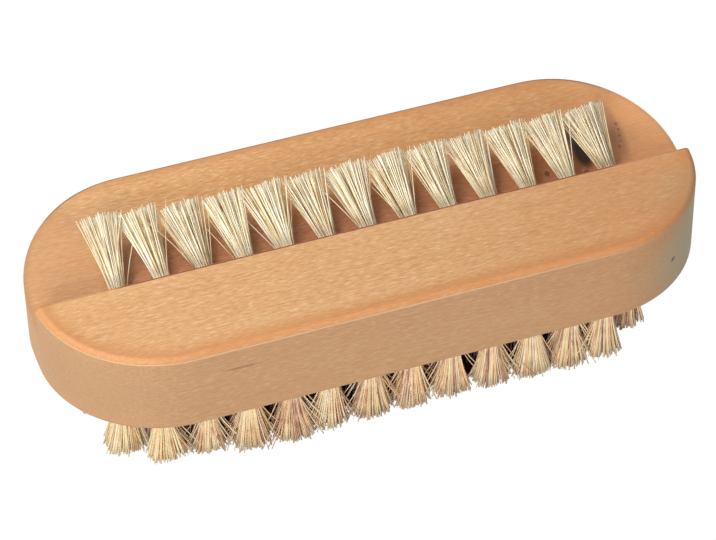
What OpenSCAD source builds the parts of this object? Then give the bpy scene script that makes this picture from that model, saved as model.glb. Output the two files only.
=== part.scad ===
// Two-sided nail brush.
// A round-cornered wooden block has a field of tufts below and is stepped on top,
// where one row of tufts leans out at the foot of the step.
// Every tuft is folded over a flat wire anchor in its own blind hole.
// Z is up, X runs along the brush, and the trimmed lower tips stand on z = 0.

/* [Block] */
// Length of the block
block_length = 95; // [88:1:110]
// Width of the block
block_width = 38; // [37:0.5:44]
// Thickness of the block at its flat land
block_thickness = 13; // [12.5:0.5:18]
// Radius of the four corners, seen from above
corner_radius = 17.5; // [14:0.5:18]
// Radius that softens the edges all round
edge_radius = 0.8; // [0.6:0.1:2]

/* [Step] */
// Distance of the step in front of the middle of the block
step_setback = 2.9; // [1:0.1:5]
// Drop from the flat land to the foot of the step
step_depth = 4.6; // [3.6:0.1:5]
// Rise of the milled floor towards the back edge, in degrees
floor_slope = 11; // [7:0.5:12]

/* [Holes] */
// Diameter of the blind holes
hole_diameter = 2.6; // [2.2:0.1:3]
// Depth of the holes in the underside
bottom_hole_depth = 4.6; // [4:0.1:5]
// Depth of the leaning holes, along their axis
top_hole_depth = 4; // [3.6:0.1:4.4]

/* [Top row] */
// Tufts in the top row
top_count = 13; // [7:1:13]
// Distance from each end of the block to the last tuft of the top row, before its shift
top_end = 11.75; // [11:0.25:13]
// Shift of the top row along the block
top_shift = 0.6; // [-1:0.1:1]
// Lean of the top tufts above the horizontal, in degrees
top_lean = 35; // [30:1:45]
// Lean of the top tufts towards the left end, in degrees
top_side_lean = 6; // [0:0.5:8]
// Distance from the step back to the middle of each hole's mouth
top_standoff = 1.6; // [1:0.1:2.4]
// Length of the top tufts outside the block
top_length = 11.5; // [9:0.5:13]
// Width of the top tufts at their tips, as a share of their spacing
top_tip_share = 0.95; // [0.6:0.05:0.95]
// Thickness of the top tufts at their tips, square to the row
top_tip_thickness = 4.4; // [3.2:0.1:5]

/* [Lower field] */
// Tufts in the front row, and in the back row
front_count = 12; // [8:1:12]
// Rows between the front row and the back row
inner_rows = 5; // [3:1:5]
// Distance from the front of the block to its front row, and from the back to its back row
side_inset = 4.6; // [4.2:0.1:5.4]
// Distance from each end of the block to the longest rows, before the shift
row_end = 9.7; // [9.5:0.1:11]
// Shift of the lower field along the block
field_shift = -1.6; // [-2:0.1:2]
// Length of the lower tufts below the block
bottom_length = 10.5; // [9:0.5:14]
// Width of the lower tufts at their tips, as a share of the closest spacing
lower_tip_share = 0.9; // [0.7:0.05:0.95]

/* [Strands] */
// Strands in a top tuft
top_strands = 11; // [7:1:12]
// Strands in a tuft on the rim of the lower field
rim_strands = 5; // [4:1:6]
// Strands in a tuft inside that rim
field_strands = 3; // [3:1:4]
// Thickness of a strand in the top row
top_strand_width = 0.64; // [0.5:0.02:0.7]
// Thickness of a strand in the lower field
bottom_strand_width = 1; // [0.7:0.05:1.1]

/* [Anchors] */
// Thickness of the flat anchor wire
anchor_thickness = 0.35; // [0.3:0.05:0.5]
// Height of the anchor wire along its hole
anchor_height = 1.3; // [1:0.1:1.6]
// How far each end of the anchor bites into the wall of its hole
anchor_bite = 0.25; // [0.15:0.05:0.35]
// Thickness of the fibre fold between the anchor and the end of the hole
fold_thickness = 0.7; // [0.5:0.1:0.9]

/* [Hidden] */
// Clearance of a tuft in its hole and round its anchor
tuft_clearance = 0.05;
// Length of a strand that is fused in the bound root of its tuft
strand_root = 0.6;
// Length by which the bound root of a leaning tuft stands out of its hole
top_root_out = 0.6;
// Depth that the flat trim takes off the splayed lower tips
trim_depth = 0.5;
// Overrun of every cut past the face that it opens
overrun = 1;

corner_sides = 48;
edge_sides = 16;
hole_sides = 14;
root_sides = 6;
strand_sides = 3;
golden_angle = 137.508;
// A three-sided strand of unit thickness reaches this far from its middle
strand_reach_share = 0.577;

wood_colour = "#dfa873";
fibre_colour = "#ece0b8";
wire_colour = "#b4b4ae";

half_length = block_length / 2;
half_width = block_width / 2;
straight_half_length = half_length - corner_radius;
straight_half_width = half_width - corner_radius;
land_z = bottom_length + block_thickness;
foot_y = -step_setback;
foot_z = land_z - step_depth;
root_radius = hole_diameter / 2 - tuft_clearance;

top_mouth_y = foot_y + top_standoff;
top_mouth_z = foot_z + top_standoff * tan(floor_slope);
top_pitch = (block_length - 2 * top_end) / (top_count - 1);
top_first_x = top_shift + top_end - half_length;

// The longest rows have two tufts more than the front row
field_pitch = (block_length - 2 * row_end) / (front_count + 1);
row_spacing = (block_width - 2 * side_inset) / (inner_rows + 1);
front_y = side_inset - half_width;
rim_count = 2 * front_count + 2 * inner_rows;
lower_tip_width = lower_tip_share * min(field_pitch, row_spacing);

function top_name(i) = str("top_tuft_", i);
function rim_name(i) = str("rim_tuft_", i);
function field_name(i) = str("field_row_", i);

// Middle of the mouth of one hole in the top row
function top_mouth(i) = [top_first_x + (i - 1) * top_pitch, top_mouth_y, top_mouth_z];

// Mouth of one hole in the underside, in rows counted from the front, which is row 0
function field_place(row, k, count) = [
    field_shift + (k - (count - 1) / 2) * field_pitch,
    front_y + row * row_spacing,
    bottom_length];

// The rows between take turns at two tufts more and at one more than the front row
function inner_count(row) = front_count + 1 + row % 2;

// Rim of the field: front row, right ends of the inner rows, back row, left ends
function rim_places() = concat(
    [for (k = [0 : front_count - 1]) field_place(0, k, front_count)],
    [for (row = [1 : inner_rows]) field_place(row, inner_count(row) - 1, inner_count(row))],
    [for (k = [front_count - 1 : -1 : 0]) field_place(inner_rows + 1, k, front_count)],
    [for (row = [inner_rows : -1 : 1]) field_place(row, 0, inner_count(row))]);

// What an inner row holds between its two ends
function row_places(row) =
    [for (k = [1 : inner_count(row) - 2]) field_place(row, k, inner_count(row))];

function bottom_places() = concat(
    rim_places(),
    [for (row = [1 : inner_rows]) each row_places(row)]);

// Root of one strand, spaced over the bound root as seeds are in a sunflower head
function strand_seat(i, count, radius) =
    let (r = radius * sqrt((i + 1 / 2) / count))
    [r * cos(i * golden_angle), r * sin(i * golden_angle)];

// Turns what stands on the XY plane to point the way a top tuft does
module along_top_axis() {
    rotate([top_lean - 90, 0, 0])
        rotate([0, -top_side_lean, 0])
            children();
}

// Section through a softened edge, from the axis out to the wall
module edge_section(reach) {
    square([reach - edge_radius, block_thickness]);
    translate([0, edge_radius])
        square([reach, block_thickness - 2 * edge_radius]);
    for (y = [edge_radius, block_thickness - edge_radius])
        translate([reach - edge_radius, y])
            circle(edge_radius, $fn = edge_sides);
}

// Straight stretch with both edges softened, centred on its length along Y
module edge_bar(reach, run) {
    rotate([90, 0, 0])
        linear_extrude(run, center = true) {
            edge_section(reach);
            mirror([1, 0])
                edge_section(reach);
        }
}

module corner_quarter() {
    translate([straight_half_length, straight_half_width])
        rotate_extrude(angle = 90, $fn = corner_sides)
            edge_section(corner_radius);
}

module blank() {
    edge_bar(half_length, 2 * straight_half_width);
    rotate([0, 0, 90])
        edge_bar(half_width, 2 * straight_half_length);
    for (flip_x = [0, 1], flip_y = [0, 1])
        mirror([flip_x, 0])
            mirror([0, flip_y])
                corner_quarter();
}

// Space that is milled away behind the step, down to the sloping floor
module milled_space() {
    past_y = half_width + overrun;
    rotate([90, 0, 90])
        linear_extrude(block_length + 2 * overrun, center = true)
            polygon([
                [foot_y, foot_z],
                [past_y, foot_z + (past_y - foot_y) * tan(floor_slope)],
                [past_y, land_z + overrun],
                [foot_y, land_z + overrun]]);
}

// Flat wire across a hole, where z = 0 is the end of the hole
module anchor(slack) {
    width = hole_diameter + 2 * anchor_bite;
    translate([-width / 2, -anchor_thickness / 2 - slack, fold_thickness - slack])
        cube([width, anchor_thickness + 2 * slack, anchor_height + 2 * slack]);
}

// One blind hole and the two nicks that its anchor cuts
module hole(depth, past) {
    cylinder(depth + past, d = hole_diameter, $fn = hole_sides);
    anchor(0);
}

// Places its children on the end of each hole, pointing out of it
module at_top_hole(i) {
    translate(top_mouth(i))
        along_top_axis()
            translate([0, 0, -top_hole_depth])
                children();
}

module at_bottom_hole(place) {
    translate([place[0], place[1], place[2] + bottom_hole_depth])
        rotate([180, 0, 0])
            children();
}

// Bound root of a tuft, slotted for its anchor
module tuft_root(length) {
    difference() {
        cylinder(length, root_radius, root_radius, $fn = root_sides);
        anchor(tuft_clearance);
    }
}

// Strands that spread from the end of the root, each a straight prism. The tips
// spread to the given size along X and along Y.
module strands(count, width, root_end, length, tip_x, tip_y) {
    reach = width * strand_reach_share;
    run = length + strand_root;
    spread = ([tip_x, tip_y] / 2 - [root_radius, root_radius]) / run;
    for (i = [0 : count - 1]) {
        seat = strand_seat(i, count, root_radius - reach);
        lean = [spread[0] * seat[0], spread[1] * seat[1]] / (root_radius - reach);
        translate([seat[0], seat[1], root_end - strand_root])
            rotate([0, atan(norm(lean)), atan2(lean[1], lean[0])])
                linear_extrude(run * sqrt(1 + lean * lean))
                    circle(reach, $fn = strand_sides);
    }
}

module top_tuft(i) {
    root_end = top_hole_depth + top_root_out;
    color(fibre_colour)
        at_top_hole(i) {
            tuft_root(root_end);
            strands(top_strands, top_strand_width, root_end, top_length - top_root_out,
                    top_tip_share * top_pitch, top_tip_thickness);
        }
}

// Lower tuft with its tips trimmed flat on the plane z = 0
module lower_tuft(place, count) {
    trim_size = hole_diameter + bottom_length;
    difference() {
        at_bottom_hole(place) {
            tuft_root(bottom_hole_depth);
            strands(count, bottom_strand_width, bottom_hole_depth, bottom_length + trim_depth,
                    lower_tip_width, lower_tip_width);
        }
        translate([place[0] - trim_size / 2, place[1] - trim_size / 2, -trim_size])
            cube(trim_size);
    }
}

module rim_tuft(i) {
    color(fibre_colour)
        lower_tuft(rim_places()[i - 1], rim_strands);
}

module field_row(row) {
    color(fibre_colour)
        for (place = row_places(row))
            lower_tuft(place, field_strands);
}

module block() {
    color(wood_colour)
        difference() {
            translate([0, 0, bottom_length])
                blank();
            milled_space();
            for (i = [1 : top_count])
                at_top_hole(i)
                    hole(top_hole_depth, block_thickness);
            for (place = bottom_places())
                at_bottom_hole(place)
                    hole(bottom_hole_depth, overrun);
        }
}

module top_anchors() {
    color(wire_colour)
        for (i = [1 : top_count])
            at_top_hole(i)
                anchor(0);
}

module bottom_anchors() {
    color(wire_colour)
        for (place = bottom_places())
            at_bottom_hole(place)
                anchor(0);
}

block();
for (i = [1 : top_count])
    top_tuft(i);
for (i = [1 : rim_count])
    rim_tuft(i);
for (i = [1 : inner_rows])
    field_row(i);
top_anchors();
bottom_anchors();
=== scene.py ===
"""Looks of a two-sided nail brush: a stepped wooden block with staked tufts of plant fibre.

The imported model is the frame. The block and the wire anchors keep their solids and get their
finishes. Each tuft's solid is replaced by a full bundle of fine fibres that leaves the same hole.
Lengths are in metres, apart from those whose names end in _mm. The front is the side of the flat
land, and the left end is the one at -X.
"""
import logging
import math
from dataclasses import dataclass, replace
from enum import Enum

import bpy
import numpy as np
from mathutils import Matrix, Vector


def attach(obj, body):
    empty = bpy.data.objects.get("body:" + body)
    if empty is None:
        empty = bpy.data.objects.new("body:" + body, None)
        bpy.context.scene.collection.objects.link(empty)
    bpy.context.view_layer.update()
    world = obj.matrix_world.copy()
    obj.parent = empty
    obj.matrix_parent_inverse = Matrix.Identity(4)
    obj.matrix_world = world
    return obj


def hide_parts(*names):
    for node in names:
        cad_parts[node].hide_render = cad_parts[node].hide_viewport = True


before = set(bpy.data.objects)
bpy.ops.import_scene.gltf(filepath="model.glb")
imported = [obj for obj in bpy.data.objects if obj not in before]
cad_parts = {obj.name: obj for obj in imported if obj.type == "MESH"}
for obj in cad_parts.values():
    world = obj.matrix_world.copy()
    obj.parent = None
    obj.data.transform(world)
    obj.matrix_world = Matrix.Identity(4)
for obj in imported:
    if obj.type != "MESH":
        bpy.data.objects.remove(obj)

LOG = logging.getLogger("nail_brush")
MM = 0.001
IMAGE_WIDTH, IMAGE_HEIGHT = 716, 540
SEED = 5722
# Turned by this much from one fibre to the next, the fibres fill a round root evenly.
GOLDEN_ANGLE = math.radians(137.508)
# A fibre's tube has four sides, so each of its ends closes with one face like those of its wall.
SIDES = 4
# Taken off a height, this leaves less than nothing anywhere on the brush.
FAR_MM = 1000.0

Tree = bpy.types.NodeTree
Socket = bpy.types.NodeSocket
Stops = tuple[tuple[float, str], ...]
Pair = tuple[float, float]
Triple = tuple[float, float, float]


def linear(hex_colour: str) -> tuple[float, float, float, float]:
    """Turns an sRGB hex colour into the linear RGBA that shader sockets take.

    Args:
        hex_colour: Colour such as "#dfa873".

    Returns:
        Linear red, green and blue, with an alpha of 1.
    """
    parts = [int(hex_colour[i:i + 2], 16) / 255 for i in (1, 3, 5)]
    red, green, blue = (c / 12.92 if c <= 0.04045 else ((c + 0.055) / 1.055) ** 2.4 for c in parts)
    return red, green, blue, 1.0


def add_node(tree: Tree, kind: str, inputs: dict | None = None,
             **settings: object) -> bpy.types.Node:
    """Adds one shader node, with its settings, its values and its links.

    Args:
        tree: Node tree that takes the node.
        kind: Type of the node, without the words ShaderNode.
        inputs: Value or output socket for each input, by the input's name or number.
        settings: Attributes of the node.

    Returns:
        The new node.
    """
    made = tree.nodes.new("ShaderNode" + kind)
    for name, value in settings.items():
        setattr(made, name, value)
    for name, value in (inputs or {}).items():
        if isinstance(value, Socket):
            tree.links.new(value, made.inputs[name])
        else:
            made.inputs[name].default_value = value
    return made


def set_stops(ramp: bpy.types.Node, stops: Stops) -> None:
    """Gives a colour ramp its stops.

    Args:
        ramp: Colour ramp node.
        stops: Position and sRGB hex colour of each stop, in order.
    """
    elements = ramp.color_ramp.elements
    while len(elements) < len(stops):
        elements.new(1.0)
    for element, (position, colour) in zip(elements, stops):
        element.position = position
        element.color = linear(colour)


def new_material(name: str) -> tuple[bpy.types.Material, Tree]:
    """Makes an empty node material.

    Args:
        name: Name of the material.

    Returns:
        The material and its node tree.
    """
    material = bpy.data.materials.new(name)
    material.use_nodes = True
    material.node_tree.nodes.clear()
    return material, material.node_tree


class Tint(Enum):
    """Colours that lie over the wood's own, in sRGB, some of them painted shade or highlight."""

    PORE = "#c08a5c"
    DASH = "#f6d3a6"
    RIM_SHADE = "#c8824a"
    ARRIS = "#ffd9a8"
    WALL = "#a98666"
    DEEP_ORANGE = "#d4884c"
    GAP_SHADE = "#9e2a3e"
    DARK_RIM = "#94703f"
    SHADE_AND_SPECKS = "#7a3a2c"
    PALE = "#ffb882"
    TUFT_SHADOW = "#6a2c3c"
    OLIVE_SHADE = "#aaa484"
    KNOT = "#5d3d2b"
    DEEP_SHADOW = "#1d1613"
    STREAK = "#8f5d3c"


Mark = tuple[Socket, Tint]


@dataclass(frozen=True)
class Grain:
    """One figure of the wood: noise whose cells are drawn out along the brush."""

    length_mm: float
    width_mm: float
    detail: float
    roughness: float = 0.5

    def build(self, tree: Tree, place: Socket) -> Socket:
        """Adds the noise.

        Args:
            tree: Node tree of the wood.
            place: Place on the block in millimetres.

        Returns:
            Level of the noise, from 0 to 1.
        """
        size = (1 / self.length_mm, 1 / self.width_mm, 1 / self.width_mm)
        cells = add_node(tree, "VectorMath", {0: place, 1: size}, operation="MULTIPLY").outputs[0]
        return add_node(tree, "TexNoise", {"Vector": cells, "Scale": 1.0, "Detail": self.detail,
                                           "Roughness": self.roughness}).outputs["Fac"]


@dataclass(frozen=True)
class WoodFinish:
    """Sanded alder, thinly waxed: an even, warm, fine-pored wood with a soft low sheen.

    The eye sees broad cloudy growth bands along the brush, short dark pores and paler dashes
    between them, and edges that look darker and more orange, which is painted shade.
    """

    name: str = "Alder, fine sanded and waxed"
    band_stops: Stops = ((0.25, "#dba46c"), (0.5, "#e2ac75"), (0.78, "#e8b681"))
    ior: float = 1.5
    # The wax is a little duller in the pores than between them.
    roughness: Pair = (0.49, 0.65)
    # Growth bands are about 5 mm apart across the grain and run most of the brush's length.
    bands: Grain = Grain(length_mm=60.0, width_mm=5.0, detail=4.0, roughness=0.55)
    # Sanding lines follow the grain, about three to the millimetre as drawn.
    lines: Grain = Grain(length_mm=9.0, width_mm=0.3, detail=2.0)
    # Pores are 0.1 mm wide, too fine to show, so they are drawn 0.2 mm wide and 1.1 mm long.
    pores: Grain = Grain(length_mm=1.1, width_mm=0.2, detail=1.0)
    # Levels of the noise where each of these starts and is full, and its share there.
    dash_levels: Triple = (0.5, 0.25, 0.7)
    pore_levels: Triple = (0.52, 0.75, 0.6)
    line_levels: Triple = (0.5, 0.8, 0.5)
    # The grain wanders by a millimetre or two over every 20 mm.
    wander_length_mm: float = 20.0
    wander_mm: Triple = (2.0, 1.2, 1.2)
    wander_detail: float = 2.0
    bump_height: float = 0.03 * MM
    bump_strength: float = 0.25

    def make(self, block: "Block") -> bpy.types.Material:
        """Builds the material.

        Args:
            block: The block, whose own marks lie over the grain.

        Returns:
            The finished material.
        """
        material, tree = new_material(self.name)
        where = add_node(tree, "TexCoord").outputs["Object"]
        place = add_node(tree, "VectorMath", {0: where, "Scale": 1 / MM}, operation="SCALE").outputs[0]
        wander = add_node(tree, "TexNoise", {"Vector": place, "Scale": 1 / self.wander_length_mm,
                                             "Detail": self.wander_detail}).outputs["Color"]
        pushed = add_node(tree, "VectorMath", {0: wander, 1: self.wander_mm, 2: place},
                          operation="MULTIPLY_ADD").outputs[0]
        bands, lines, pores = (grain.build(tree, pushed)
                               for grain in (self.bands, self.lines, self.pores))
        ramp = add_node(tree, "ValToRGB", {"Fac": bands})
        set_stops(ramp, self.band_stops)
        marks = []
        for noise, (start, full, most), tint in ((pores, self.dash_levels, Tint.DASH),
                                                 (pores, self.pore_levels, Tint.PORE),
                                                 (lines, self.line_levels, Tint.PORE)):
            share = add_node(tree, "MapRange", {"Value": noise, "From Min": start,
                                                "From Max": full, "To Max": most},
                             interpolation_type="SMOOTHSTEP").outputs[0]
            marks.append((share, tint))
        colour = ramp.outputs["Color"]
        for share, tint in marks + block.marks(tree, place):
            colour = add_node(tree, "Mix", {0: share, 6: colour, 7: linear(tint.value)},
                              data_type="RGBA").outputs[2]
        rough = add_node(tree, "MapRange", {"Value": pores, "To Min": self.roughness[0],
                                            "To Max": self.roughness[1]}).outputs[0]
        relief = add_node(tree, "Math", {0: lines, 1: pores}, operation="ADD").outputs[0]
        bump = add_node(tree, "Bump", {"Height": relief, "Strength": self.bump_strength,
                                       "Distance": self.bump_height}).outputs[0]
        shader = add_node(tree, "BsdfPrincipled", {
            "Base Color": colour, "Roughness": rough, "Normal": bump, "IOR": self.ior})
        add_node(tree, "OutputMaterial", {"Surface": shader.outputs[0]})
        return material


@dataclass(frozen=True)
class FibreFinish:
    """Washed tampico, cut from the leaf: stiff pale plant fibre with a dry, slightly silky face.

    No two fibres match, so each has its own tone, with some blotches along it. Its root, where
    the tuft is tight, and its cut tip each have a tint of their own, partly painted shade.
    """

    name: str
    tone_stops: Stops
    root_colour: str
    root_share: float
    tip_colour: str
    tip_share: float
    # Shares of a fibre's length where the root's tint ends and where the tip's tint starts.
    root_end: float = 0.3
    tip_start: float = 0.6
    ior: float = 1.53
    roughness: float = 0.34
    # Blotches along a fibre are a millimetre or two long.
    blotch_mm: float = 1.4
    blotch_detail: float = 1.0
    # Levels of the noise that darken and lighten the tone by the blotches' strength.
    blotch_levels: Pair = (0.3, 0.7)
    blotch_strength: float = 0.12

    def make(self) -> bpy.types.Material:
        """Builds the material, which reads each fibre's tone and the share of its length.

        Returns:
            The finished material.
        """
        material, tree = new_material(self.name)
        tone = add_node(tree, "Attribute", attribute_name="tone").outputs["Fac"]
        along = add_node(tree, "Attribute", attribute_name="along").outputs["Fac"]
        where = add_node(tree, "TexCoord").outputs["Object"]
        blotch = add_node(tree, "TexNoise", {"Vector": where, "Scale": 1 / (self.blotch_mm * MM),
                                             "Detail": self.blotch_detail}).outputs["Fac"]
        mixed = add_node(tree, "MapRange", {
            "Value": blotch, "From Min": self.blotch_levels[0], "From Max": self.blotch_levels[1],
            "To Min": -self.blotch_strength, "To Max": self.blotch_strength},
            clamp=False).outputs[0]
        shade = add_node(tree, "Math", {0: tone, 1: mixed}, operation="ADD").outputs[0]
        ramp = add_node(tree, "ValToRGB", {"Fac": shade})
        set_stops(ramp, self.tone_stops)
        colour = ramp.outputs["Color"]
        for tint, start, full, most in (
                (self.root_colour, self.root_end, 0.0, self.root_share),
                (self.tip_colour, self.tip_start, 1.0, self.tip_share)):
            share = add_node(tree, "MapRange", {"Value": along, "From Min": start, "From Max": full,
                                                "To Max": most}).outputs[0]
            colour = add_node(tree, "Mix", {0: share, 6: colour, 7: linear(tint)},
                              data_type="RGBA").outputs[2]
        shader = add_node(tree, "BsdfPrincipled", {
            "Base Color": colour, "Roughness": self.roughness, "IOR": self.ior})
        add_node(tree, "OutputMaterial", {"Surface": shader.outputs[0]})
        return material


# Little used: bone white, with only a few straw-coloured fibres.
TOP_FIBRE = FibreFinish(
    name="Tampico, washed and cut, pale",
    tone_stops=((0.0, "#c9aa7c"), (0.12, "#e6d2a6"), (0.45, "#f5e9c8"), (0.8, "#fcf5dd"),
                (1.0, "#fffbf0")),
    root_colour="#ecdba4", root_share=0.35, tip_colour="#fbf5df", tip_share=0.2)

# Used: golden, with rosy brown fibres among the pale ones.
LOWER_FIBRE = FibreFinish(
    name="Tampico, washed and cut, golden",
    tone_stops=((0.0, "#9c706a"), (0.14, "#d6a68c"), (0.42, "#f8d6a6"), (0.8, "#feeec2"),
                (1.0, "#fff8e0")),
    root_colour="#fbdc9c", root_share=0.3, tip_colour="#eccca2", tip_share=0.25)

# Painted light: paler and yellower than the rest of the lower tufts, for the two at the left end.
PAINTED_LIGHT_FIBRE = FibreFinish(
    name="Tampico, washed and cut, with painted light",
    tone_stops=((0.0, "#b08460"), (0.14, "#e2bc8c"), (0.42, "#fae2b0"), (0.8, "#fff2cc"),
                (1.0, "#fffae8")),
    root_colour="#ffe6ae", root_share=0.3, tip_colour="#f8deae", tip_share=0.25)

# Painted shade: mauve brown, darkest at the roots, for the row behind the front one.
PAINTED_SHADE_FIBRE = FibreFinish(
    name="Tampico, washed and cut, with painted shade",
    tone_stops=((0.0, "#74484e"), (0.3, "#a87c7c"), (0.7, "#d4aea6"), (1.0, "#f4dcd2")),
    root_colour="#8f6264", root_share=0.4, tip_colour="#c09488", tip_share=0.4)


@dataclass(frozen=True)
class WireFinish:
    """Flat-rolled mild steel wire: grey, with fine lines along its length from the rolls."""

    name: str = "Mild steel wire, flat rolled"
    colour: str = "#b4b4ae"
    roughness: Pair = (0.3, 0.46)
    # Roll lines are 0.05 mm apart.
    line_mm: float = 0.05

    def make(self) -> bpy.types.Material:
        """Builds the material.

        Returns:
            The finished material.
        """
        material, tree = new_material(self.name)
        where = add_node(tree, "TexCoord").outputs["Object"]
        size = (1.0, 0.0, 1 / (self.line_mm * MM))
        lines = add_node(tree, "VectorMath", {0: where, 1: size}, operation="MULTIPLY").outputs[0]
        grain = add_node(tree, "TexNoise", {"Vector": lines, "Scale": 1.0}).outputs["Fac"]
        rough = add_node(tree, "MapRange", {"Value": grain, "To Min": self.roughness[0],
                                            "To Max": self.roughness[1]}).outputs[0]
        shader = add_node(tree, "BsdfPrincipled", {
            "Base Color": linear(self.colour), "Metallic": 1.0, "Roughness": rough})
        add_node(tree, "OutputMaterial", {"Surface": shader.outputs[0]})
        return material


@dataclass(frozen=True)
class Spot:
    """A soft round mark around one place on the wood."""

    tint: Tint
    share: float
    middle_mm: Triple
    reach_mm: Triple
    # Shares of its reach where the mark starts and where it is full.
    start: float = 1.3
    full: float = 0.5

    def build(self, tree: Tree, place: Socket) -> Mark:
        """Adds the mark.

        Args:
            tree: Node tree of the wood.
            place: Place on the block in millimetres.

        Returns:
            The mark's share from 0 to 1, and its colour.
        """
        size = tuple(1 / reach for reach in self.reach_mm)
        offset = add_node(tree, "VectorMath", {0: place, 1: self.middle_mm}, operation="SUBTRACT")
        scaled = add_node(tree, "VectorMath", {0: offset.outputs[0], 1: size}, operation="MULTIPLY")
        away = add_node(tree, "VectorMath", {0: scaled.outputs[0]}, operation="LENGTH").outputs[1]
        share = add_node(tree, "MapRange", {
            "Value": away, "From Min": self.start, "From Max": self.full, "To Max": self.share},
            interpolation_type="SMOOTHSTEP").outputs[0]
        return share, self.tint


@dataclass
class Block:
    """The wooden block, which keeps its solid and is dressed as one piece of wood."""

    node: str = "block"
    length_mm: float = 95.0
    width_mm: float = 38.0
    corner_radius_mm: float = 17.5
    land_height_mm: float = 23.5
    edge_radius_mm: float = 0.8
    step_y_mm: float = -2.9
    row_half_length_mm: float = 36.0
    row_fade_mm: float = 1.0
    # Painted shade makes the wood darker and redder towards the right end.
    right_shade_full_x_mm: float = 46.0
    right_shade_share: float = 0.42
    # The land is a little browner than the floor, and the walls are browner still, as painted shade.
    # The one tone turns into the other on the edge's round, from its foot to this share of its radius
    # below the land.
    land_share: float = 0.14
    wall_share: float = 0.6
    wall_full_mm: float = 0.1
    tone_change_share: float = 0.4
    # Painted shade makes the rim of the land darker and more orange, full halfway over the edge's
    # round.
    rim_shade_width_mm: float = 3.5
    rim_shade_full_share: float = 0.5
    rim_shade_share: float = 0.64
    # A painted highlight lies along the foot of the edge's round, but not at the right end.
    arris_mm: float = 0.13
    arris_full_share: float = 0.4
    arris_share: float = 0.85
    arris_fade_x_mm: Pair = (40.0, 15.0)
    # The outermost line of the back edge is darker.
    dark_rim_mm: float = 0.25
    dark_rim_drop_mm: float = 1.2
    # Painted shade darkens and reddens the floor under the row, from the step to a little behind the
    # tufts.
    gap_shade_end_y_mm: float = 9.5
    gap_shade_fade_mm: float = 5.0
    gap_shade_share: float = 0.36
    # How far below the land the floor with the painted shade lies, from its highest to its lowest
    # place.
    floor_drop_mm: Pair = (1.4, 5.0)
    # A line of painted shade runs along the upper edge of the step, darker by the row.
    step_shade_mm: float = 0.3
    step_shade_full_share: float = 0.6
    step_shade_share: float = 0.35
    step_shade_gain: float = 1.5
    finish: WoodFinish = WoodFinish()
    spots: tuple[Spot, ...] = (
        # The floor's left end is browner and redder as painted shade, and a faint red band lies behind
        # the row.
        Spot(Tint.WALL, 0.5, (-44.0, 10.0, 20.5), (16.0, 14.0, 4.0)),
        Spot(Tint.DEEP_ORANGE, 0.2, (-46.0, 7.0, 19.0), (12.0, 14.0, 7.0)),
        Spot(Tint.DEEP_ORANGE, 0.16, (6.0, 12.0, 21.5), (22.0, 9.0, 3.0)),
        # Painted shade makes the wall browner round the left end and olive at the right end, and the
        # floor's right end is pale.
        Spot(Tint.WALL, 0.3, (-42.0, -10.0, 16.5), (14.0, 12.0, 6.0)),
        Spot(Tint.PALE, 0.38, (44.0, 6.0, 20.5), (12.0, 16.0, 4.0)),
        Spot(Tint.OLIVE_SHADE, 0.75, (46.0, -11.0, 15.5), (15.0, 10.0, 8.0)),
        # A pin knot and a short streak of grain show on the front wall.
        Spot(Tint.KNOT, 0.85, (39.66, -16.09, 16.0), (0.5, 0.5, 0.4)),
        Spot(Tint.STREAK, 0.6, (-23.7, -19.0, 19.3), (2.4, 2.0, 0.22)),
        # A painted deep shadow blackens the floor between the last two tufts of the top row.
        Spot(Tint.DEEP_SHADOW, 0.95, (34.3, 4.3, 20.3), (1.3, 3.1, 1.6)),
        Spot(Tint.DEEP_SHADOW, 0.8, (33.9, 7.6, 21.0), (0.9, 3.0, 1.6)),
        # Beside the last tuft, its painted shadow runs back over the floor with five specks along it.
        Spot(Tint.TUFT_SHADOW, 0.32, (40.2, 7.4, 20.7), (1.2, 6.8, 2.2)),
        Spot(Tint.SHADE_AND_SPECKS, 0.7, (40.9, 7.9, 21.0), (0.2, 0.25, 0.3)),
        Spot(Tint.SHADE_AND_SPECKS, 0.6, (40.9, 6.9, 20.8), (0.15, 0.3, 0.3)),
        Spot(Tint.SHADE_AND_SPECKS, 0.7, (40.6, 5.8, 20.6), (0.2, 0.2, 0.3)),
        Spot(Tint.SHADE_AND_SPECKS, 0.6, (40.4, 4.9, 20.4), (0.15, 0.2, 0.3)),
        Spot(Tint.SHADE_AND_SPECKS, 0.7, (39.9, 4.0, 20.2), (0.2, 0.3, 0.3)),
        # Two pin knots lie at the feet of the last three tufts.
        Spot(Tint.KNOT, 0.7, (28.2, 2.4, 19.9), (0.4, 0.5, 0.9)),
        Spot(Tint.KNOT, 0.7, (33.7, 1.1, 19.7), (0.5, 0.4, 0.9)))

    def shares(self, tree: Tree, place: Socket) -> dict[str, Socket]:
        """Adds the shares, growing or starting somewhere on the block, that make up the marks.

        Args:
            tree: Node tree of the wood.
            place: Place on the block in millimetres.

        Returns:
            Each share by its name.
        """
        land, radius, edge = self.land_height_mm, self.corner_radius_mm, self.edge_radius_mm
        row, gap_shade_end, foot = self.row_half_length_mm, self.gap_shade_end_y_mm, land - edge
        x, y, z = add_node(tree, "SeparateXYZ", {0: place}).outputs
        size = add_node(tree, "VectorMath", {0: place}, operation="ABSOLUTE").outputs[0]
        aside = add_node(tree, "SeparateXYZ", {0: size}).outputs["X"]
        core = (self.length_mm / 2 - radius, self.width_mm / 2 - radius, FAR_MM)
        past = add_node(tree, "VectorMath", {0: size, 1: core}, operation="SUBTRACT").outputs[0]
        corner = add_node(tree, "VectorMath", {0: past, 1: (0.0, 0.0, 0.0)}, operation="MAXIMUM")
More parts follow.
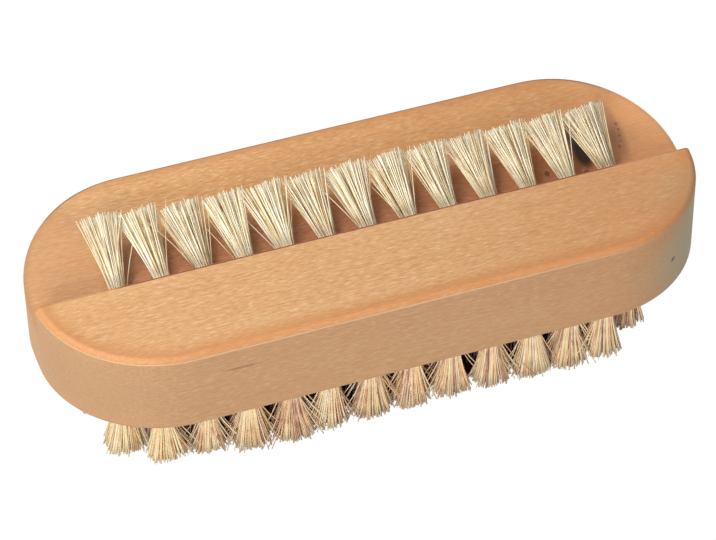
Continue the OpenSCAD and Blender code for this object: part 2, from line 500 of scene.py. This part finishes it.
        # How far a place is outside the outline's straight core, which is the radius at a wall.
        reach = add_node(tree, "VectorMath", {0: corner.outputs[0]}, operation="LENGTH").outputs[1]
        offsets = (add_node(tree, "Math", {0: value, 1: line}, operation="SUBTRACT").outputs[0]
                   for value, line in ((z, foot), (y, self.step_y_mm)))
        from_foot, from_step = (
            add_node(tree, "Math", {0: offset}, operation="ABSOLUTE").outputs[0] for offset in offsets)
        found = {}
        for name, curve, value, start, full, most in (
                ("high", "LINEAR", z, foot, land - self.tone_change_share * edge, 1.0),
                ("land", "LINEAR", z, foot, land - self.tone_change_share * edge, self.land_share),
                ("wall", "LINEAR", reach, radius - edge, radius - self.wall_full_mm,
                 self.wall_share),
                ("rim shade", "SMOOTHSTEP", reach, radius - self.rim_shade_width_mm,
                 radius - self.rim_shade_full_share * edge, self.rim_shade_share),
                ("arris", "LINEAR", from_foot, self.arris_mm,
                 self.arris_full_share * self.arris_mm, self.arris_share),
                ("leftwards", "LINEAR", x, *self.arris_fade_x_mm, 1.0),
                ("right shade", "SMOOTHSTEP", x, 0.0, self.right_shade_full_x_mm, self.right_shade_share),
                ("behind", "SMOOTHSTEP", y, gap_shade_end, gap_shade_end - self.gap_shade_fade_mm,
                 self.gap_shade_share),
                ("by row", "SMOOTHSTEP", aside, row + self.row_fade_mm, row - self.row_fade_mm, 1.0),
                ("step shade", "SMOOTHSTEP", from_step, self.step_shade_mm,
                 self.step_shade_full_share * self.step_shade_mm, self.step_shade_share)):
            found[name] = add_node(tree, "MapRange", {
                "Value": value, "From Min": start, "From Max": full, "To Max": most},
                interpolation_type=curve).outputs[0]
        for name, operation, inputs in (
                ("low", "SUBTRACT", {0: 1.0, 1: found["high"]}),
                ("gain", "MULTIPLY_ADD", {0: found["by row"], 1: self.step_shade_gain, 2: 1.0}),
                ("outermost", "GREATER_THAN", {0: reach, 1: radius - self.dark_rim_mm}),
                ("back half", "GREATER_THAN", {0: y, 1: 0.0}),
                ("back edge", "GREATER_THAN", {0: z, 1: land - self.dark_rim_drop_mm}),
                ("behind step", "GREATER_THAN", {0: y, 1: self.step_y_mm}),
                ("below land", "LESS_THAN", {0: z, 1: land - self.floor_drop_mm[0]}),
                ("above holes", "GREATER_THAN", {0: z, 1: land - self.floor_drop_mm[1]})):
            found[name] = add_node(tree, "Math", inputs, operation=operation).outputs[0]
        return found

    def marks(self, tree: Tree, place: Socket) -> list[Mark]:
        """Adds the marks that belong to places on this block.

        Args:
            tree: Node tree of the wood.
            place: Place on the block in millimetres.

        Returns:
            For each mark, its share from 0 to 1 and its colour, in painting order.
        """
        shares = self.shares(tree, place)
        found = []
        # Of these, the right end's tone, the walls' tone, the rim's, the floor's by the row and the
        # line along the step are painted shade, and the arris line is a painted highlight.
        for tint, first, *others in (
                (Tint.DEEP_ORANGE, "right shade"), (Tint.WALL, "land"), (Tint.WALL, "wall", "low"),
                (Tint.RIM_SHADE, "rim shade", "high"), (Tint.ARRIS, "arris", "leftwards", "wall"),
                (Tint.GAP_SHADE, "behind", "by row", "below land", "behind step", "above holes"),
                (Tint.DARK_RIM, "outermost", "back half", "back edge"),
                (Tint.SHADE_AND_SPECKS, "step shade", "gain", "high")):
            share = shares[first]
            for name in others:
                share = add_node(tree, "Math", {0: share, 1: shares[name]},
                                 operation="MULTIPLY").outputs[0]
            found.append((share, tint))
        return found + [spot.build(tree, place) for spot in self.spots]

    def dress(self) -> None:
        """Gives the CAD node its wood."""
        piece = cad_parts[self.node]
        piece.data.materials.clear()
        piece.data.materials.append(self.finish.make(self))
        LOG.info("dressed %s", self.node)


@dataclass
class Anchors:
    """The flat wire anchors of both faces, which keep their solids inside the block."""

    nodes: tuple[str, ...] = ("top_anchors", "bottom_anchors")
    finish: WireFinish = WireFinish()

    def dress(self) -> None:
        """Gives each group of anchors its steel."""
        steel = self.finish.make()
        for name in self.nodes:
            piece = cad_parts[name]
            piece.data.materials.clear()
            piece.data.materials.append(steel)
            LOG.info("dressed %s", name)


class Trim(Enum):
    """How the free ends of a tuft are cut."""

    SQUARE = "square to the tuft"
    LEVEL = "level with the surface that the brush stands on"


@dataclass(frozen=True)
class Bundle:
    """How the fibres of one kind of tuft are gathered, spread and cut.

    The flares are the lean of the outermost fibres, along the brush and across it. A stray fibre
    leans out of the tuft, and a broken one ends short.
    """

    fibres: int
    length: float
    flare_along: float
    flare_across: float
    trim: Trim
    ragged: float
    # A power above one makes the fibres stay together at first and open towards the tips.
    opening: float = 1.15
    trim_slant: float = 0.0
    # How far the spread goes from round, at 0, to square, at 1.
    squareness: float = 0.0
    stray_share: float = 0.05
    stray_lean: float = math.radians(20)
    stray_bend: float = 2.2
    stray_thickness: float = 0.75
    broken_share: float = 0.03
    # A broken fibre lacks between these shares of its length.
    broken_loss: Pair = (0.1, 0.35)
    root_radius: float = 1.16 * MM
    root_depth: float = 1.2 * MM
    # How unevenly the fibres sit in the root, as a share of its radius.
    root_scatter: float = 0.04
    fibre_radius: float = 0.1 * MM
    thickness_spread: float = 0.2
    bend: float = 0.3 * MM
    wander: float = math.radians(1.6)
    tip_size: float = 0.72
    rings: int = 7


@dataclass
class Tuft:
    """One staked tuft: the mouth of its hole, the way that it points and how it is worn.

    Its stray fibres lean from stray_from to stray_to, where -1 is fully to the left.
    """

    mouth: Vector
    axis: Vector
    bundle: Bundle
    wear: float = 0.0
    stray_from: float = -1.0
    stray_to: float = 1.0

    @property
    def along(self) -> Vector:
        """Returns the direction square to the tuft that is nearest to the brush's length."""
        length = Vector((1, 0, 0))
        return (length - self.axis * length.dot(self.axis)).normalized()

    def centre_lines(self, draw: np.random.Generator) -> tuple[np.ndarray, np.ndarray]:
        """Works out the middle line of each fibre.

        Args:
            draw: Source of random draws.

        Returns:
            Points of shape (fibres, rings, 3), and the radius of each fibre.
        """
        b = self.bundle
        count = b.fibres
        turn = np.arange(count) * GOLDEN_ANGLE + draw.uniform(0, math.tau)
        out = np.sqrt((np.arange(count) + 0.5) / count)
        seat = np.stack([np.cos(turn), np.sin(turn)], axis=1) * out[:, None]
        seat += draw.normal(0, b.root_scatter, seat.shape)
        corner = np.maximum(np.abs(np.cos(turn)), np.abs(np.sin(turn))) ** -b.squareness
        lean = seat * corner[:, None] * np.tan([b.flare_along, b.flare_across]) + np.tan(
            draw.normal(0, b.wander, seat.shape))
        stray = draw.random(count) < b.stray_share
        wild = draw.uniform(self.stray_from, self.stray_to, count)
        lean[:, 0] += np.where(stray, np.tan(wild * b.stray_lean), 0)
        bend = draw.normal(0, b.bend, seat.shape) * np.where(stray, b.stray_bend, 1.0)[:, None]
        length = b.length - self.wear - np.abs(draw.normal(0, b.ragged, count))
        length += np.tan(b.trim_slant) * lean[:, 0] * b.length
        broken = draw.random(count) < b.broken_share
        length -= np.where(broken, draw.uniform(*b.broken_loss, count) * b.length, 0)
        thickness = draw.uniform(1 - b.thickness_spread, 1 + b.thickness_spread, count)
        radius = b.fibre_radius * thickness * np.where(stray, b.stray_thickness, 1.0)
        steps = np.linspace(0, 1, b.rings)
        far = -b.root_depth + (length[:, None] + b.root_depth) * steps
        share = np.clip(far / b.length, 0, None)
        side = (seat[:, None] * b.root_radius + lean[:, None] * b.length * share[..., None] ** b.opening
                + bend[:, None] * share[..., None] ** 2)
        across = self.axis.cross(self.along)
        lines = (np.array(self.mouth) + far[..., None] * np.array(self.axis)
                 + side[..., :1] * np.array(self.along) + side[..., 1:] * np.array(across))
        if b.trim is Trim.LEVEL:
            lines[..., 2] = np.maximum(lines[..., 2], radius[:, None] / 2)
        return lines, radius

    def tubes(self, draw: np.random.Generator) -> dict[str, np.ndarray]:
        """Turns the fibres into closed, slightly tapered tubes.

        Args:
            draw: Source of random draws.

        Returns:
            Corner points, faces of four corners, each point's tone and share of length, and
            whether each face is smooth, as the walls are and the ends aren't.
        """
        lines, radius = self.centre_lines(draw)
        count, rings, _ = lines.shape
        ahead = np.gradient(lines, axis=1)
        ahead /= np.linalg.norm(ahead, axis=2, keepdims=True)
        first = np.array(self.along) - ahead * (ahead @ np.array(self.along))[..., None]
        first /= np.linalg.norm(first, axis=2, keepdims=True)
        second = np.cross(ahead, first)
        turn = np.arange(SIDES) * math.tau / SIDES
        size = radius[:, None] * np.linspace(1.0, self.bundle.tip_size, rings)
        ring = (np.cos(turn)[:, None] * first[:, :, None] + np.sin(turn)[:, None] * second[:, :, None])
        points = lines[:, :, None] + ring * size[:, :, None, None]
        number = np.arange(count * rings * SIDES).reshape(count, rings, SIDES)
        low, high = number[:, :-1], number[:, 1:]
        walls = np.stack([low, np.roll(low, -1, 2), np.roll(high, -1, 2), high], axis=-1)
        walls = walls.reshape(-1, SIDES)
        faces = np.concatenate([walls, number[:, 0, ::-1], number[:, -1]])
        tone = np.repeat(draw.random(count), rings * SIDES)
        along = np.tile(np.repeat(np.linspace(0, 1, rings), SIDES), count)
        return {"points": points.reshape(-1, 3), "faces": faces, "tone": tone, "along": along,
                "smooth": np.arange(len(faces)) < len(walls)}


def fibre_piece(name: str, tufts: list[Tuft], material: bpy.types.Material, node: str,
                draw: np.random.Generator) -> None:
    """Makes one piece from the fibres of one or more tufts, in place of a CAD node.

    Args:
        name: Name of the piece.
        tufts: Tufts that the node holds.
        material: Finish of the fibres.
        node: CAD node that the piece stands for.
        draw: Source of random draws.
    """
    parts = [tuft.tubes(draw) for tuft in tufts]
    starts = np.cumsum([0] + [len(part["points"]) for part in parts[:-1]])
    faces = np.concatenate([part["faces"] + start for part, start in zip(parts, starts)])
    joined = {key: np.concatenate([part[key] for part in parts])
              for key in ("points", "tone", "along", "smooth")}
    mesh = bpy.data.meshes.new(name)
    mesh.vertices.add(len(joined["points"]))
    mesh.vertices.foreach_set("co", joined["points"].ravel())
    mesh.loops.add(faces.size)
    mesh.loops.foreach_set("vertex_index", faces.ravel())
    mesh.polygons.add(len(faces))
    mesh.polygons.foreach_set("loop_start", np.arange(0, faces.size, SIDES))
    mesh.polygons.foreach_set("use_smooth", joined["smooth"])
    mesh.update(calc_edges=True)
    for key in ("tone", "along"):
        mesh.attributes.new(key, "FLOAT", "POINT").data.foreach_set("value", joined[key])
    mesh.materials.append(material)
    piece = bpy.data.objects.new(name, mesh)
    bpy.context.scene.collection.objects.link(piece)
    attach(piece, "root")
    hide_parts(node)
    LOG.info("built %s with %d fibres", name, sum(tuft.bundle.fibres for tuft in tufts))


@dataclass
class TopRow:
    """The row of tufts that leans back over the floor from the foot of the step."""

    count: int = 13
    pitch: float = 5.958 * MM
    shift: float = 1.0 * MM
    mouth_y: float = -1.3 * MM
    mouth_z: float = 19.211 * MM
    lean: float = math.radians(35)
    lean_spread: float = math.radians(0.7)
    # All tufts but the first one lean towards the left end.
    side_lean: float = math.radians(7)
    side_lean_spread: float = math.radians(0.9)
    # The first tuft stands nearer to the left end than the even spacing would put it.
    first_shift: float = -0.6 * MM
    # The first tufts are longer and narrower, by this much at most. Both die away with the square
    # of a tuft's number, divided by the reach.
    end_length: float = 0.9 * MM
    end_tightness: float = 0.35
    end_reach: float = 2.0
    # The two end tufts have hardly any stray fibres on their outer side.
    end_stray: float = 0.3
    finish: FibreFinish = TOP_FIBRE
    bundle: Bundle = Bundle(
        fibres=130, length=11.4 * MM, flare_along=math.radians(11.4),
        flare_across=math.radians(4.5), trim=Trim.SQUARE, ragged=0.35 * MM,
        trim_slant=math.radians(-1), stray_share=0.08, stray_lean=math.radians(17),
        root_radius=0.86 * MM, fibre_radius=0.105 * MM, wander=math.radians(2.2))

    def build(self, draw: np.random.Generator) -> None:
        """Builds the tufts, each in place of its own node.

        Args:
            draw: Source of random draws.
        """
        material = self.finish.make()
        for i in range(self.count):
            place = i - (self.count - 1) / 2
            turn = draw.normal(-self.side_lean if i else 0.0, self.side_lean_spread)
            lean = self.lean + draw.normal(0, self.lean_spread)
            axis = Vector((math.sin(turn), math.cos(turn) * math.cos(lean),
                           math.cos(turn) * math.sin(lean)))
            offset = self.shift if i else self.shift + self.first_shift
            mouth = Vector((offset + place * self.pitch, self.mouth_y, self.mouth_z))
            near_end = math.exp(-i * i / self.end_reach)
            bundle = replace(self.bundle, flare_along=self.bundle.flare_along
                             * (1 - self.end_tightness * near_end))
            tuft = Tuft(mouth, axis, bundle, wear=-self.end_length * near_end,
                        stray_from=-self.end_stray if i == 0 else -1.0,
                        stray_to=self.end_stray if i == self.count - 1 else 1.0)
            fibre_piece(f"top_fibres_{i + 1}", [tuft], material, f"top_tuft_{i + 1}", draw)


@dataclass
class LowerField:
    """The tufts below the block, in straight rows. The outermost ones are a piece each."""

    front_count: int = 12
    inner_rows: int = 5
    # The longest rows have two tufts more than the front one, and so one gap more than its tufts.
    longest_row: float = 75.6 * MM
    row_spacing: float = 4.8 * MM
    front_y: float = -14.4 * MM
    shift: float = -1.6 * MM
    height: float = 10.5 * MM
    lean_spread: float = math.radians(1.2)
    # Where the front row is worn shorter: the middle of each spot, its reach along the row and
    # its depth, of which the tufts behind that row have a share.
    worn_spots: tuple[Triple, ...] = (
        (-33 * MM, 7.2 * MM, 2.8 * MM), (12 * MM, 11 * MM, 0.9 * MM), (31 * MM, 3 * MM, 0.8 * MM))
    wear_share_behind: float = 0.5
    # The front row sits to the right in its holes, more and more towards the right end, but for
    # its last tuft.
    front_shift: float = 0.7 * MM
    last_shift: float = -0.1 * MM
    # At the left end the first tuft of the front row sits a little outwards, and the one behind
    # it inwards, as does the one at the right end of the row behind the front one.
    first_shift: float = -0.35 * MM
    end_shift: float = 1.6 * MM
    right_shift: float = -0.3 * MM
    # Tufts farther from the middle than this many spacings have hardly any stray fibres on
    # their outer side.
    end_spacings: float = 5.2
    end_stray: float = 0.2
    finish: FibreFinish = LOWER_FIBRE
    # Copies of the golden fibre with painted light and with painted shade.
    painted_light_finish: FibreFinish = PAINTED_LIGHT_FIBRE
    painted_shade_finish: FibreFinish = PAINTED_SHADE_FIBRE
    bundle: Bundle = Bundle(
        fibres=520, length=10.7 * MM, flare_along=math.radians(8.6),
        flare_across=math.radians(5.5), trim=Trim.LEVEL, ragged=0.05 * MM, opening=1.5,
        squareness=0.9, stray_share=0.07, stray_lean=math.radians(23), broken_share=0.01,
        root_radius=0.96 * MM, fibre_radius=0.105 * MM, bend=0.2 * MM,
        wander=math.radians(1.2), tip_size=0.92, rings=6)
    # The two tufts at the left end of the front spread wider.
    end_flare_along: float = math.radians(12)
    end_flare_across: float = math.radians(7.5)
    end_opening: float = 1.2
    inner_fibres: int = 180
    inner_fibre_radius: float = 0.13 * MM
    # The row behind the front one is used most, so it is thin and its fibres cross.
    thin_row: int = 1
    thin_fibres: int = 110
    thin_fibre_radius: float = 0.11 * MM
    thin_wander: float = math.radians(5)

    @property
    def pitch(self) -> float:
        """Returns the spacing of the tufts in a row."""
        return self.longest_row / (self.front_count + 1)

    def inner_count(self, row: int) -> int:
        """Returns how many tufts an inner row holds."""
        return self.front_count + 1 + row % 2

    def place(self, row: int, k: int, count: int) -> Pair:
        """Returns where tuft k of a row stands, with row 0 at the front."""
        return self.shift + (k - (count - 1) / 2) * self.pitch, self.front_y + row * self.row_spacing

    def rim_places(self) -> list[Pair]:
        """Works out where the outermost tufts stand.

        Returns:
            Places of the front row, the right ends, the back row and the left ends.
        """
        front, inner = range(self.front_count), range(1, self.inner_rows + 1)
        places = ([self.place(0, k, self.front_count) for k in front]
                  + [self.place(r, self.inner_count(r) - 1, self.inner_count(r)) for r in inner]
                  + [self.place(self.inner_rows + 1, k, self.front_count) for k in reversed(front)]
                  + [self.place(r, 0, self.inner_count(r)) for r in reversed(inner)])
        last = self.front_count - 1
        shifts = {i: self.front_shift * i / last for i in front}
        shifts |= {0: self.first_shift, last: self.last_shift, last + 1: self.right_shift,
                   len(places) - 1: self.end_shift}
        for i, shift in shifts.items():
            places[i] = (places[i][0] + shift, places[i][1])
        return places

    def row_places(self, row: int) -> list[Pair]:
        """Returns where the tufts of an inner row stand between its two ends."""
        count = self.inner_count(row)
        return [self.place(row, k, count) for k in range(1, count - 1)]

    def tuft(self, place: Pair, draw: np.random.Generator, bundle: Bundle) -> Tuft:
        """Places one tuft, which points straight down but for a little wander.

        Args:
            place: Where it stands along the brush and across it.
            draw: Source of random draws.
            bundle: How its fibres are gathered.

        Returns:
            The tuft.
        """
        tip = draw.normal(0, self.lean_spread, 2)
        axis = Vector((math.sin(tip[0]), math.sin(tip[1]), -1)).normalized()
        wear = sum(depth * math.exp(-((place[0] - middle) / reach) ** 2)
                   for middle, reach, depth in self.worn_spots)
        if place[1] != self.front_y:
            wear *= self.wear_share_behind
        end = self.end_spacings * self.pitch
        return Tuft(Vector((*place, self.height)), axis, bundle, wear=wear,
                    stray_from=-self.end_stray if place[0] - self.shift < -end else -1.0,
                    stray_to=self.end_stray if place[0] - self.shift > end else 1.0)

    def build(self, draw: np.random.Generator) -> None:
        """Builds a piece for each tuft of the rim and one for the rest of each row.

        Args:
            draw: Source of random draws.
        """
        # The two left-end tufts take the copy with painted light, and the row behind the front one the
        # copy with painted shade.
        golden, painted_light, painted_shade = (finish.make() for finish in (
            self.finish, self.painted_light_finish, self.painted_shade_finish))
        wide = replace(self.bundle, flare_along=self.end_flare_along,
                       flare_across=self.end_flare_across, opening=self.end_opening)
        inner = replace(self.bundle, fibres=self.inner_fibres, fibre_radius=self.inner_fibre_radius)
        thin = replace(self.bundle, fibres=self.thin_fibres, fibre_radius=self.thin_fibre_radius,
                       wander=self.thin_wander)
        places = self.rim_places()
        left_ones = (1, len(places))
        for i, place in enumerate(places, 1):
            bundle, material = (wide, painted_light) if i in left_ones else (self.bundle, golden)
            fibre_piece(f"rim_fibres_{i}", [self.tuft(place, draw, bundle)], material,
                        f"rim_tuft_{i}", draw)
        for row in range(1, self.inner_rows + 1):
            places = self.row_places(row)
            tufts = [self.tuft(place, draw, thin if row == self.thin_row
                               and place not in (places[0], places[-1]) else inner)
                     for place in places]
            fibre_piece(f"row_fibres_{row}", tufts, painted_shade if row == self.thin_row else golden,
                        f"field_row_{row}", draw)


@dataclass
class Camera:
    """A long lens at the photograph's angle, fitted to the block's outline.

    Azimuth 0 looks from the front, and the angles are in radians.
    """

    azimuth: float = -0.329935
    elevation: float = 0.754019
    roll: float = -0.015028
    distance: float = 454.42 * MM
    focal_pixels: float = 3244.24
    centre_x_pixels: float = 364.459
    centre_y_pixels: float = 280.904
    target: Triple = (0.0, 0.0, 10.5 * MM)
    near_limit: float = 10 * MM

    def build(self) -> None:
        """Makes the camera and sets it as the scene's own."""
        a, e = self.azimuth, self.elevation
        back = Vector((math.sin(a) * math.cos(e), -math.cos(a) * math.cos(e), math.sin(e)))
        right = Vector((math.cos(a), math.sin(a), 0))
        up = back.cross(right)
        turned_right = right * math.cos(self.roll) + up * math.sin(self.roll)
        turned_up = up * math.cos(self.roll) - right * math.sin(self.roll)
        data = bpy.data.cameras.new("camera")
        data.lens = self.focal_pixels / IMAGE_WIDTH * data.sensor_width
        data.shift_x = (IMAGE_WIDTH / 2 - self.centre_x_pixels) / IMAGE_WIDTH
        data.shift_y = (self.centre_y_pixels - IMAGE_HEIGHT / 2) / IMAGE_WIDTH
        data.clip_start = self.near_limit
        camera = bpy.data.objects.new("camera", data)
        place = Vector(self.target) + back * self.distance
        turn = Matrix((turned_right, turned_up, back)).transposed().to_4x4()
        camera.matrix_world = Matrix.Translation(place) @ turn
        bpy.context.scene.collection.objects.link(camera)
        bpy.context.scene.camera = camera


@dataclass(frozen=True)
class Lamp:
    """One soft area lamp that points at the brush, with its power in watts."""

    name: str
    place: Triple
    size: float
    power: float
    colour: str

    def build(self, target: Vector) -> None:
        """Makes the lamp.

        Args:
            target: Place that it points at.
        """
        data = bpy.data.lights.new(self.name, "AREA")
        data.size = self.size
        data.energy = self.power
        data.color = linear(self.colour)[:3]
        lamp = bpy.data.objects.new(self.name, data)
        lamp.location = self.place
        lamp.rotation_euler = (target - lamp.location).to_track_quat("-Z", "Y").to_euler()
        bpy.context.scene.collection.objects.link(lamp)


@dataclass
class Studio:
    """A plain pale floor with a painted shadow below the brush, soft lamps and a white surround."""

    floor_half: float = 3.0
    floor_colour: str = "#b9b6b2"
    # Below the brush the floor is painted dark as a shadow and shows as it is, so the gaps between
    # tufts are dark.
    # The dark field is an oblong of this half size with a rounded margin around it.
    under_shadow_colour: str = "#6c4c60"
    under_middle: Triple = (-1.6 * MM, 0.0, 0.0)
    under_half: Triple = (26.0 * MM, 8.0 * MM, 0.0)
    under_margin: Pair = (6.0 * MM, 4.5 * MM)
    # Shares of the margin's width between which the field fades out.
    under_fade: Pair = (0.95, 1.25)
    sky_colour: str = "#ffffff"
    sky_strength: float = 0.25
    white: float = 1.06
    shadow_share: float = 0.06
    lamp_target: Triple = (0.0, 0.0, 15 * MM)
    lamps: tuple[Lamp, ...] = (
        Lamp("top lamp", place=(-0.19, 0.02, 0.26), size=0.18, power=0.68, colour="#fffaf2"),
        Lamp("front lamp", place=(-0.38, -0.57, 0.24), size=0.3, power=2.98, colour="#fffdf8"),
        Lamp("fill lamp", place=(0.14, -0.64, 0.12), size=0.3, power=0.7, colour="#fbf4ff"),
    )

    def seen_as_white(self, tree: Tree, lit: Socket, share: float | Socket, kind: str) -> Socket:
        """Mixes white light over a shader for rays that see the surface itself or its mirror image.

        Args:
            tree: Node tree of the floor or the sky.
            lit: Shader that lights the brush and takes its shadow.
            share: Share of white in what is seen.
            kind: Node that gives the white, Emission on the floor or Background in the sky.

        Returns:
            The mixed shader.
        """
        path = add_node(tree, "LightPath")
        seen = path.outputs["Is Camera Ray"]
        for name in ("Is Glossy Ray", "Is Transmission Ray"):
            seen = add_node(tree, "Math", {0: seen, 1: path.outputs[name]},
                            operation="MAXIMUM").outputs[0]
        seen = add_node(tree, "Math", {0: seen, 1: share}, operation="MULTIPLY").outputs[0]
        white = add_node(tree, kind, {"Color": (1, 1, 1, 1), "Strength": self.white}).outputs[0]
        return add_node(tree, "MixShader", {0: seen, 1: lit, 2: white}).outputs[0]

    def outside_field(self, tree: Tree) -> Socket:
        """Adds the measure that tells the floor below the lower tufts from the rest.

        Args:
            tree: Node tree of the floor.

        Returns:
            0 below the tufts and 1 outside them, softly changing.
        """
        place = add_node(tree, "NewGeometry").outputs["Position"]
        for value, operation in ((self.under_middle, "SUBTRACT"), (None, "ABSOLUTE"),
                                 (self.under_half, "SUBTRACT"), ((0.0, 0.0, 0.0), "MAXIMUM"),
                                 ((1 / self.under_margin[0], 1 / self.under_margin[1], 0.0),
                                  "MULTIPLY")):
            inputs = {0: place} if value is None else {0: place, 1: value}
            place = add_node(tree, "VectorMath", inputs, operation=operation).outputs[0]
        away = add_node(tree, "VectorMath", {0: place}, operation="LENGTH").outputs[1]
        return add_node(tree, "MapRange", {"Value": away, "From Min": self.under_fade[0],
                                           "From Max": self.under_fade[1]},
                        interpolation_type="SMOOTHSTEP").outputs[0]

    def build_floor(self) -> None:
        """Makes the floor, which shows white, keeps a soft part of the brush's shadow and has a painted
        shadow below the lower tufts.
        """
        h = self.floor_half
        mesh = bpy.data.meshes.new("floor")
        mesh.from_pydata([(-h, -h, 0), (h, -h, 0), (h, h, 0), (-h, h, 0)], [], [(0, 1, 2, 3)])
        floor = bpy.data.objects.new("floor", mesh)
        material, tree = new_material("Matt paper floor")
        bare = self.outside_field(tree)
        colour = add_node(tree, "Mix", {0: bare, 6: linear(self.under_shadow_colour),
                                        7: linear(self.floor_colour)}, data_type="RGBA").outputs[2]
        diffuse = add_node(tree, "BsdfDiffuse", {"Color": colour}).outputs[0]
        share = add_node(tree, "Math", {0: bare, 1: 1 - self.shadow_share},
                         operation="MULTIPLY").outputs[0]
        seen = self.seen_as_white(tree, diffuse, share, "Emission")
        add_node(tree, "OutputMaterial", {"Surface": seen})
        mesh.materials.append(material)
        bpy.context.scene.collection.objects.link(floor)

    def build_sky(self) -> None:
        """Sets an even surround, white where it is seen."""
        world = bpy.data.worlds.new("surround")
        world.use_nodes = True
        tree = world.node_tree
        tree.nodes.clear()
        sky = add_node(tree, "Background", {"Color": linear(self.sky_colour),
                                            "Strength": self.sky_strength}).outputs[0]
        add_node(tree, "OutputWorld", {"Surface": self.seen_as_white(tree, sky, 1.0, "Background")})
        bpy.context.scene.world = world

    def build(self) -> None:
        """Builds the floor, the surround and the lamps."""
        self.build_floor()
        self.build_sky()
        for lamp in self.lamps:
            lamp.build(Vector(self.lamp_target))
        bpy.context.scene.view_settings.view_transform = "Standard"


def main() -> None:
    """Builds the camera, the studio and the brush."""
    logging.basicConfig(level=logging.INFO, format="%(name)s: %(message)s")
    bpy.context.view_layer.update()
    Camera().build()
    Studio().build()
    Block().dress()
    Anchors().dress()
    draw = np.random.default_rng(SEED)
    TopRow().build(draw)
    LowerField().build(draw)
    LOG.info("sizes written")


if __name__ == "__main__":
    main()
